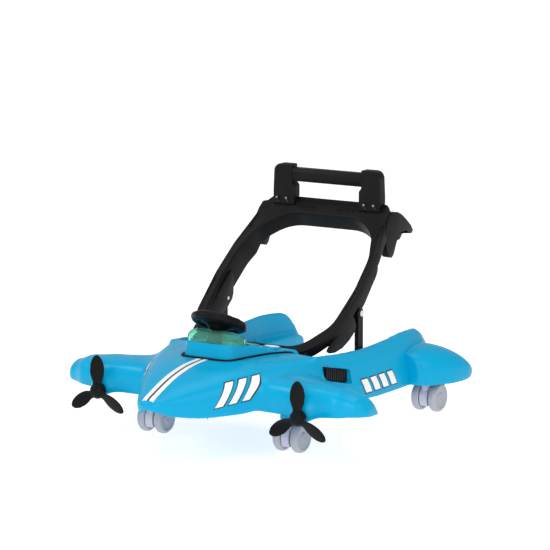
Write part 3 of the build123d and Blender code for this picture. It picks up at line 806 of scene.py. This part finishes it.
# %% [markdown]
# The caster stems run up into round bosses under the hull. The front pair
# belongs to the hull moulding, so it is added to the skin's inside here.

# %% Stem bosses
BOSS = [(5.4, 60), (13, 60), (14, 61), (14, 128), (5.4, 128)]  # radius, Z
for side in SIDES:
    x, y, _ = middle(f"front_{side}_stem")
    place(turned(f"front_{side}_boss", BOSS, (x, y, 0), (0, 0, 1)), "base", "blue_shell")
print("front bosses", len(SIDES))

# %% [markdown]
# ## Propellers
#
# Three oval paddles stand on a rounded hub. Each blade is lofted outwards from
# the hub with its chord growing and shrinking like an oval and its pitch
# easing towards the tip, and then fused to the spinner.

# %% Propellers
BLADE_TIP, BLADE_ROOT, BLADE_CHORD, BLADE_PITCH = 64.0, 5.0, 27.0, radians(18)


def blade_loop(reach):
    """One section across a blade that points straight up."""
    share = (reach - BLADE_ROOT) / (BLADE_TIP - BLADE_ROOT)
    oval = max(0.02, 1 - (2 * max(share, 0.22) - 1.12) ** 2 / 0.88 ** 2) ** 0.5
    chord = 0.5 * BLADE_CHORD * oval
    thick = 1.9 - 0.7 * share
    pitch = BLADE_PITCH * (1.25 - 0.5 * share)
    loop = []
    for a in full_turn(24):
        u, v = chord * cos(a), thick * sin(a) * (0.55 + 0.45 * oval)
        loop.append((u * cos(pitch) - v * sin(pitch), u * sin(pitch) + v * cos(pitch), reach))
    return loop


def propeller(name, side):
    """One propeller on its pin."""
    back = corners(name)[1][1]
    centre = np.array((side * hub_x, 0, middle("propeller_pins")[2]))
    parts = [turned("spinner", [(3.1, back), (13.2, back), (14, back - 1), (14, back - 9), (12.2, back - 13.5),
                                (8, back - 17), (0.05, back - 18)], centre, (0, 1, 0))]
    for turn in (0, 120, 240):
        blade = loft("blade", [blade_loop(r) for r in np.linspace(BLADE_ROOT, BLADE_TIP, 40)])
        blade.data.transform(Matrix.Translation(Vector((*centre[:1], back - 8, centre[2])) * MM)
                             @ Matrix.Rotation(radians(turn), 4, "Y"))
        parts.append(blade)
    whole = join(f"{name}_moulding", parts)
    return fuse(whole, 0.8, fillet=1.2, rounds=2)


for name, side in SIDES.items():
    place(propeller(f"{name}_propeller", side), f"{name}_propeller", "black_trim", f"{name}_propeller")
print("propeller centre", hub_x, hub_z)

# %% [markdown]
# ## Steering wheel
#
# A thick soft rim with moulded finger rests sits on a wide cone that runs down
# to the column, with three flat spokes between them.

# %% Steering wheel
steering = next(j for j in frame["joints"] if j["name"] == "steering_turn")
steer_axis = np.array(steering["axis"])
steer_centre = np.array(steering["pos_m"]) / MM
RIM_R, RIM_TUBE = 41.5, 8.4
flat_side = np.array((1.0, 0, 0))
flat_up = np.cross(steer_axis, flat_side)


def rim_loop(angle):
    """One section of the rim, a little fatter at the finger rests."""
    out = cos(angle) * flat_side + sin(angle) * flat_up
    fat = RIM_TUBE * (1 - 0.035 * (1 + cos(14 * angle)) * (abs(cos(angle)) > 0.35))
    return [steer_centre + out * (RIM_R + fat * cos(t)) + steer_axis * fat * sin(t)
            for t in full_turn(28)]


rim = loft("rim", [rim_loop(a) for a in np.linspace(0, 2 * pi, 129)])
cone = turned("cone", [(9.2, -17), (13, -16), (21, -8), (34, -3.5), (35, -1.5), (24, 1.5), (20, 3.4), (15.4, 3.4),
                       (15.2, -4.5), (9.2, -4.5)],
              steer_centre, steer_axis)
spokes = []
for angle in (0, pi, -pi / 2):
    out = cos(angle) * flat_side + sin(angle) * flat_up
    wide = np.cross(steer_axis, out)
    spokes.append(loft("spoke", [[steer_centre + out * r + wide * w * s + steer_axis * t
                                  for s, t in ((-1, -3.5), (1, -3.5), (1, 2.5), (-1, 2.5))]
                                 for r, w in ((15, 9), (22, 7.5), (30, 7), (38, 8.5))]))
wheel = join("steering_grip", [rim, cone] + spokes)
fuse(wheel, 1.1, fillet=2.5, rounds=3)
place(wheel, "steering", "black_trim", "steering_wheel")
print("steering wheel across", round(wheel.dimensions.x / MM, 1), "mm")

# %% [markdown]
# ## Seat ring
#
# The ring is a moulded channel: a top face that slopes inwards, a shallow
# outer skirt and a deep inner wall. Its two outlines are polygons with rounded
# corners, drawn flat. The channel's section is carried round between them, and
# the whole is tilted to where the fold hinge holds it.

# %% Ring outlines
RING_TILT = radians(40)
RING_ORIGIN = np.array((0, -204.0, 8.0))
RING_AHEAD = np.array((0, cos(RING_TILT), sin(RING_TILT)))
RING_UP = np.array((0, -sin(RING_TILT), cos(RING_TILT)))
# right half of each outline: X, distance up the ring's plane, corner radius
RING_OUTER = [(112, 225, 42), (148, 286, 70), (153, 385, 160), (149, 458, 120), (131, 560, 16), (119, 579, 12)]
RING_INNER = [(88, 240, 55), (131, 296, 60), (138, 378, 150), (134, 450, 110), (118, 502, 60), (82, 541, 70)]


def ring_spot(x, s, z):
    """A point given in the ring's own plane, in the walker's frame."""
    return RING_ORIGIN + np.array((x, 0, 0)) + s * RING_AHEAD + z * RING_UP


def rounded_outline(corners_right, arc=9, run=7):
    """Closed outline, symmetric about the middle line, with every corner rounded."""
    spots = [np.array((x, s, r), float) for x, s, r in corners_right]
    spots += [p * (-1, 1, 1) for p in reversed(spots)]
    outline, last = [], None
    shares = np.linspace(0, 1, run + 2)[1:-1]
    for i, here in enumerate(spots):
        before, after = spots[i - 1][:2], spots[(i + 1) % len(spots)][:2]
        corner, radius = here[:2], here[2]
        into = (corner - before) / np.linalg.norm(corner - before)
        away = (after - corner) / np.linalg.norm(after - corner)
        turning = np.arccos(np.clip(into @ away, -1, 1))
        trim = radius * tan(turning / 2)
        spin = np.sign(into[0] * away[1] - into[1] * away[0])
        side = np.array((-into[1], into[0])) * spin
        centre = corner - into * trim + side * radius
        arm_out = corner - into * trim - centre
        for a in np.linspace(0, turning, arc) * spin:
            spot = centre + np.array((arm_out[0] * cos(a) - arm_out[1] * sin(a),
                                      arm_out[0] * sin(a) + arm_out[1] * cos(a)))
            if last is not None and a == 0:
                outline += [last + (spot - last) * t for t in shares]
            outline.append(spot)
        last = outline[-1]
    outline += [last + (outline[0] - last) * t for t in shares]
    return np.array(outline)


outer_edge, inner_edge = rounded_outline(RING_OUTER), rounded_outline(RING_INNER)


def channel_loop(outer, inner):
    """The channel's section between one pair of outline points."""
    width = np.linalg.norm(inner - outer)
    across = (inner - outer) / width
    depth = np.interp(outer[1], (240, 300, 340, 500, 560), (20, 38, 50, 46, 37))
    skirt = np.interp(outer[1], (240, 290, 400), (19, 23, 19))
    section = [(0, -skirt), (0, -2.6), (0.8, -0.8), (2.6, 0), (0.4 * width, -0.4), (width - 4.5, -2.4),
               (width - 1.4, -3.8), (width, -6.6), (width, -depth), (width - 3, -depth), (width - 3, -8.5),
               (width - 5.5, -6.2), (5, -3.6), (3, -5.2), (3, -skirt)]
    return [ring_spot(*(outer + across * a), z) for a, z in section]


# %% Ring channel, knuckles and lugs
def closed_sweep(name, loops):
    """Ring-shaped body through loops, with no end caps."""
    loops = np.array(loops)
    count, size = loops.shape[:2]
    faces = [(i * size + k, i * size + (k + 1) % size, ((i + 1) % count) * size + (k + 1) % size,
              ((i + 1) % count) * size + k) for i in range(count) for k in range(size)]
    return shade(face_outwards(add_mesh(name, loops.reshape(-1, 3), faces)), 45)


channel = closed_sweep("channel", [channel_loop(o, i) for o, i in zip(outer_edge, inner_edge)])
hinge = np.array(next(j for j in frame["joints"] if j["name"] == "ring_fold")["pos_m"]) / MM


def ring_block(x0, x1, s0, s1, z0, z1, radius=0.8):
    """Rounded block drawn in the ring's own plane."""
    sections = [[ring_spot(x, s, z) for x, z in ((x0, z0), (x1, z0), (x1, z1), (x0, z1))] for s in (s0, s1)]
    return modify(loft("block", sections), "BEVEL", width=radius * MM, segments=2)


# Cuts in the right half: X range, range up the ring's plane, height range
RING_CUTS = [((87.8, 100.2), (217, 240), (-40, -3.4)), ((44, 62), (553, 559), (-2.4, 4)),
             ((22, 36), (553, 557), (-2.4, 4)), ((131, 134.5), (494, 528), (-2.4, 4)),
             ((144.5, 147), (330, 372), (-2.4, 4))]
for side in SIDES.values():
    for across, along, height in RING_CUTS:
        cut(channel, ring_block(*span(side, *across), *along, *height))


def plate(name, outline, x0, x1, spot=None, radius=1.6):
    """Flat plate from a side outline, with rounded edges."""
    spot = spot or (lambda x, a, b: (x, a, b))
    body = loft(name, [[spot(x, a, b) for a, b in outline] for x in (x0, x1)])
    return modify(body, "BEVEL", width=radius * MM, segments=3, limit_method="ANGLE")


LUG = [(264, -14), (276, -34), (300, -47), (338, -53), (352, -55), (368, -55), (378, -50), (396, -30), (402, -14)]
WEB = [(244, -14), (248, -22), (258, -32), (278, -44), (304, -52), (330, -55), (338, -50), (341, -38), (342, -14)]
WEB_X, LUG_X = (138, 146.6), (131.6, 137.2)
extras = []
for side in SIDES.values():
    x0, x1 = span(side, *WEB_X)
    extras.append(plate("web", WEB, x0, x1, ring_spot, 3.5))
    for x0, x1 in ((76, 87.4), (100.6, 112)):
        profile = [(3.1, x0), (6.4, x0), (7, x0 + 0.6), (7, x1 - 0.6), (6.4, x1), (3.1, x1)]
        extras.append(turned("knuckle", profile, (0, hinge[1], hinge[2]), (side, 0, 0), 40))
    x0, x1 = span(side, *LUG_X)
    extras.append(plate("lug", LUG, x0, x1, ring_spot, 1.2))
ring = shade(join("seat_ring_channel", [channel] + extras), 40)
place(ring, "ring", "black_frame", "seat_ring")
print("ring outline points", len(outer_edge), len(inner_edge))

# %% [markdown]
# ## Hooks at the rear corners
#
# A beak-shaped hook stands off each rear corner. When the ring is folded the
# hooks catch under the tails, so each has a smooth back and a stepped root.

# %% Hooks
HOOK = [(193, 332), (203, 344), (216, 358), (228, 367), (242, 367), (256, 361), (268, 353), (279, 345), (289, 337),
        (297, 327), (291, 322), (281, 325), (271, 330), (261, 329), (254, 322), (249, 317), (240, 316), (234, 312),
        (231, 301), (227, 292), (220, 287), (209, 290), (203, 305)]
for name, side in SIDES.items():
    x0, x1 = span(side, 126, 139)
    hook = plate(f"{name}_beak_hook", [(y, z) for y, z in HOOK], x0, x1, radius=3)
    place(shade(hook, 40), "ring", "black_frame", f"{name}_ring_hook")
print("hooks", len(SIDES))

# %% [markdown]
# ## Push handle
#
# Two brackets rise from the ring's rear bar and carry a round-edged grip bar.
# Each bracket has a rounded shoulder, a cap lip on top and a small foot.

# %% Handle
bracket_low, bracket_high = corners("right_handle_bracket")
bar_low, bar_high = corners("handle_bar")
handle_front, handle_back = bracket_low[1], bracket_high[1]


def handle_bracket(name, side):
    """One bracket, drawn in front view and given its depth."""
    x0, x1, top = bracket_low[0], bracket_high[0], bracket_high[2]
    low = bracket_low[2]
    shoulder = [(x1 - 14 + 14 * sin(a), top - 14 + 14 * cos(a)) for a in np.linspace(0, pi / 2, 9)]
    outline = [(x0, top)] + shoulder + [(x1, low + 60), (x1 + 1.5, low + 26), (x1 + 1.5, low), (x0 - 5, low),
                                        (x0 - 5, low + 36), (x0, low + 42)]
    sections = [[(side * x, y, z) for x, z in outline] for y in (handle_front, handle_back)]
    body = modify(loft(name, sections), "BEVEL", width=2.5 * MM, segments=3, limit_method="ANGLE")
    under = ring_block(-200, 200, 380, 640, -220, -0.5, 0.1)
    cut(body, under)
    cut(body, box_body("bar_room", (-bar_high[0], bar_low[1] + 0.2, bar_low[2] + 0.2), bar_high - 0.2))
    return body


for name, side in SIDES.items():
    place(handle_bracket(f"{name}_bracket_moulding", side), "ring", "black_frame", f"{name}_handle_bracket")
grip = rounded_bar("grip_bar", bar_low, bar_high, 6.5)
grip.data.shade_smooth()
place(grip, "ring", "black_frame", "handle_bar")
print("handle top", round(bracket_high[2], 1), "mm")

# %% [markdown]
# ## Button seats and lights
#
# Every button sits in a thin raised seat on the sloping roof. Behind the
# steering wheel the console also carries an oval green lens.

# %% Button seats
roof_normal = np.array((0, sin(ROOF_SLOPE), cos(ROOF_SLOPE)))
SEAT = [(13.6, -2), (16.2, -2), (16.2, 1.0), (15.4, 1.6), (14.2, 1.6), (13.6, 1.0)]  # radius, height
for side in SIDES:
    for kind in ("white", "green"):
        x, y, _ = middle(f"{side}_{kind}_button")
        seat = turned(f"{side}_{kind}_seat", SEAT, (x, y, roof_height(y)), roof_normal)
        place(seat, "base", "blue_shell")
lens_y = -58.0
lens = turned("oval_lens", [(0.1, -2), (9, -2), (9, 1.6), (7.6, 2.8), (4, 3.6), (0.1, 3.9)], (0, 0, 0), (0, 0, 1))
lens.data.transform(Matrix.Translation(Vector((0, lens_y, roof_height(lens_y))) * MM)
                    @ Matrix.Rotation(-ROOF_SLOPE, 4, "X") @ Matrix.Diagonal((1.9, 0.8, 1, 1)))
place(lens, "base", "green_plastic")
print("button seats and lens")

# %% [markdown]
# ## Plain stickers
#
# The livery is plain bars: a pair of pale stripes with a dark line down the
# nose, slanted bars beside it, and slanted bars along the arms. A sticker is
# a thin film, so each is a patch laid on the skin and given 0.2 mm.

# %% Stickers
FILM_LIFT, PALE_LIFT, FILM_THICKNESS = 0.3, 0.25, 0.2


def film(name, grid, material, toward):
    """Thin patch pressed onto the hull from one direction; a pale film lies over a dark one."""
    lift = FILM_LIFT + (PALE_LIFT if material is sticker_white else 0)
    rows, cols = len(grid), len(grid[0])
    points = []
    for row in grid:
        for spot in row:
            hit, normal, _, _ = skin_tree.ray_cast(Vector(spot) * MM, Vector(toward))
            points.append(np.array(hit) / MM + np.array(normal) * lift)
    faces = [(r * cols + c, r * cols + c + 1, (r + 1) * cols + c + 1, (r + 1) * cols + c)
             for r in range(rows - 1) for c in range(cols - 1)]
    made = face_outwards(add_mesh(name, points, faces))
    modify(made, "SOLIDIFY", thickness=FILM_THICKNESS * MM, offset=0)
    return place(made, "base", "white_plastic", material=material)


def nose_stripe(name, x0, x1, material):
    """Stripe along the nose between two distances from the middle line."""
    rows = [[(x, y, 300) for x in np.linspace(x0, x1, 5)] for y in np.linspace(-349, -184, 70)]
    return film(name, rows, material, (0, 0, -1))


nose_stripe("nose_stripe_right", 2.2, 11, sticker_white)
nose_stripe("nose_stripe_left", -11, -2.2, sticker_white)
nose_stripe("nose_line", -1.3, 1.3, sticker_black)


def side_bar(name, side, y0, y1, z0, z1, slant, material, reach=400, dip=0.0):
    """Slanted bar pressed onto one side of the hull, from the side or from a little above."""
    toward = Vector((-side, 0, -dip)).normalized()
    rows = []
    for t in np.linspace(0, 1, 12):
        z = z0 + (z1 - z0) * t
        row = [Vector((side * reach, y + slant * t, z + dip * (reach - 90))) for y in np.linspace(y0, y1, 10)]
        rows.append(row)
    return film(name, rows, material, toward)


for name, side in SIDES.items():
    for i in range(3):
        start = -262 + 24 * i
        side_bar(f"{name}_nose_edge_{i}", side, start - 2, start + 16, 96, 138, 26, sticker_black, 150, 0.25)
        side_bar(f"{name}_nose_bar_{i}", side, start, start + 14, 98, 136, 25, sticker_white, 150, 0.25)
    for i in range(4):
        start = 66 + 28 * i
        side_bar(f"{name}_arm_edge_{i}", side, start - 2, start + 20, 71, 99, -12, sticker_black)
        side_bar(f"{name}_arm_bar_{i}", side, start, start + 18, 73, 97, -11, sticker_white)
print("stickers on both sides")

# %% [markdown]
# ## Floor, lights and camera
#
# The walker stands on a pale floor under soft light from above, with one
# bright window-like light that draws the long highlights on the gloss skin.

# %% Stage
FLOOR_HALF = 30000
floor = add_mesh("floor", [(x * FLOOR_HALF, y * FLOOR_HALF, 0) for x, y in ((-1, -1), (1, -1), (1, 1), (-1, 1))],
                 [(0, 1, 2, 3)])
floor_finish = bpy.data.materials.new("pale_floor")
floor_finish.use_nodes = True
floor_shader = floor_finish.node_tree.nodes["Principled BSDF"]
floor_shader.inputs["Base Color"].default_value = (0.6, 0.6, 0.6, 1)
floor_shader.inputs["Roughness"].default_value = 0.3
floor_shader.inputs["Emission Color"].default_value = (1, 1, 1, 1)
floor_shader.inputs["Emission Strength"].default_value = 0.7
floor.data.materials.append(floor_finish)

world = bpy.data.worlds.new("soft_room")
bpy.context.scene.world = world
world.use_nodes = True
world.node_tree.nodes["Background"].inputs[0].default_value = (1, 1, 1, 1)
world.node_tree.nodes["Background"].inputs[1].default_value = 0.5


def soft_light(name, spot, aim, size, power):
    """Square soft light aimed at a point, in metres."""
    lamp = bpy.data.lights.new(name, "AREA")
    lamp.size, lamp.energy = size, power
    made = add_object(name, lamp)
    made.location = spot
    made.rotation_euler = (Vector(aim) - Vector(spot)).to_track_quat("-Z", "Y").to_euler()


aim = (0, 0, 0.12)
for name, spot, size, power in (("overhead", (0.2, -0.2, 2.4), 1.8, 20), ("left_window", (-2.0, -2.0, 1.9), 1.0, 24),
                                ("right_fill", (2.6, -0.8, 1.2), 1.6, 14), ("front_fill", (1.4, -3.4, 1.3), 1.8, 42)):
    soft_light(name, spot, aim, size, power)

AZIMUTH, ELEVATION, DISTANCE, LENS = radians(32.2), radians(10.0), 5.0, 196.4
back = Vector((sin(AZIMUTH) * cos(ELEVATION), -cos(AZIMUTH) * cos(ELEVATION), sin(ELEVATION)))
target = Vector((0.1592, -0.204, 0.321))
camera = add_object("camera", bpy.data.cameras.new("camera"))
camera.data.lens = LENS
camera.location = target + back * DISTANCE
camera.rotation_euler = (-back).to_track_quat("-Z", "Y").to_euler()
bpy.context.scene.camera = camera
bpy.context.scene.view_settings.view_transform = "Standard"
print("camera", camera.name, "floor", floor.name)
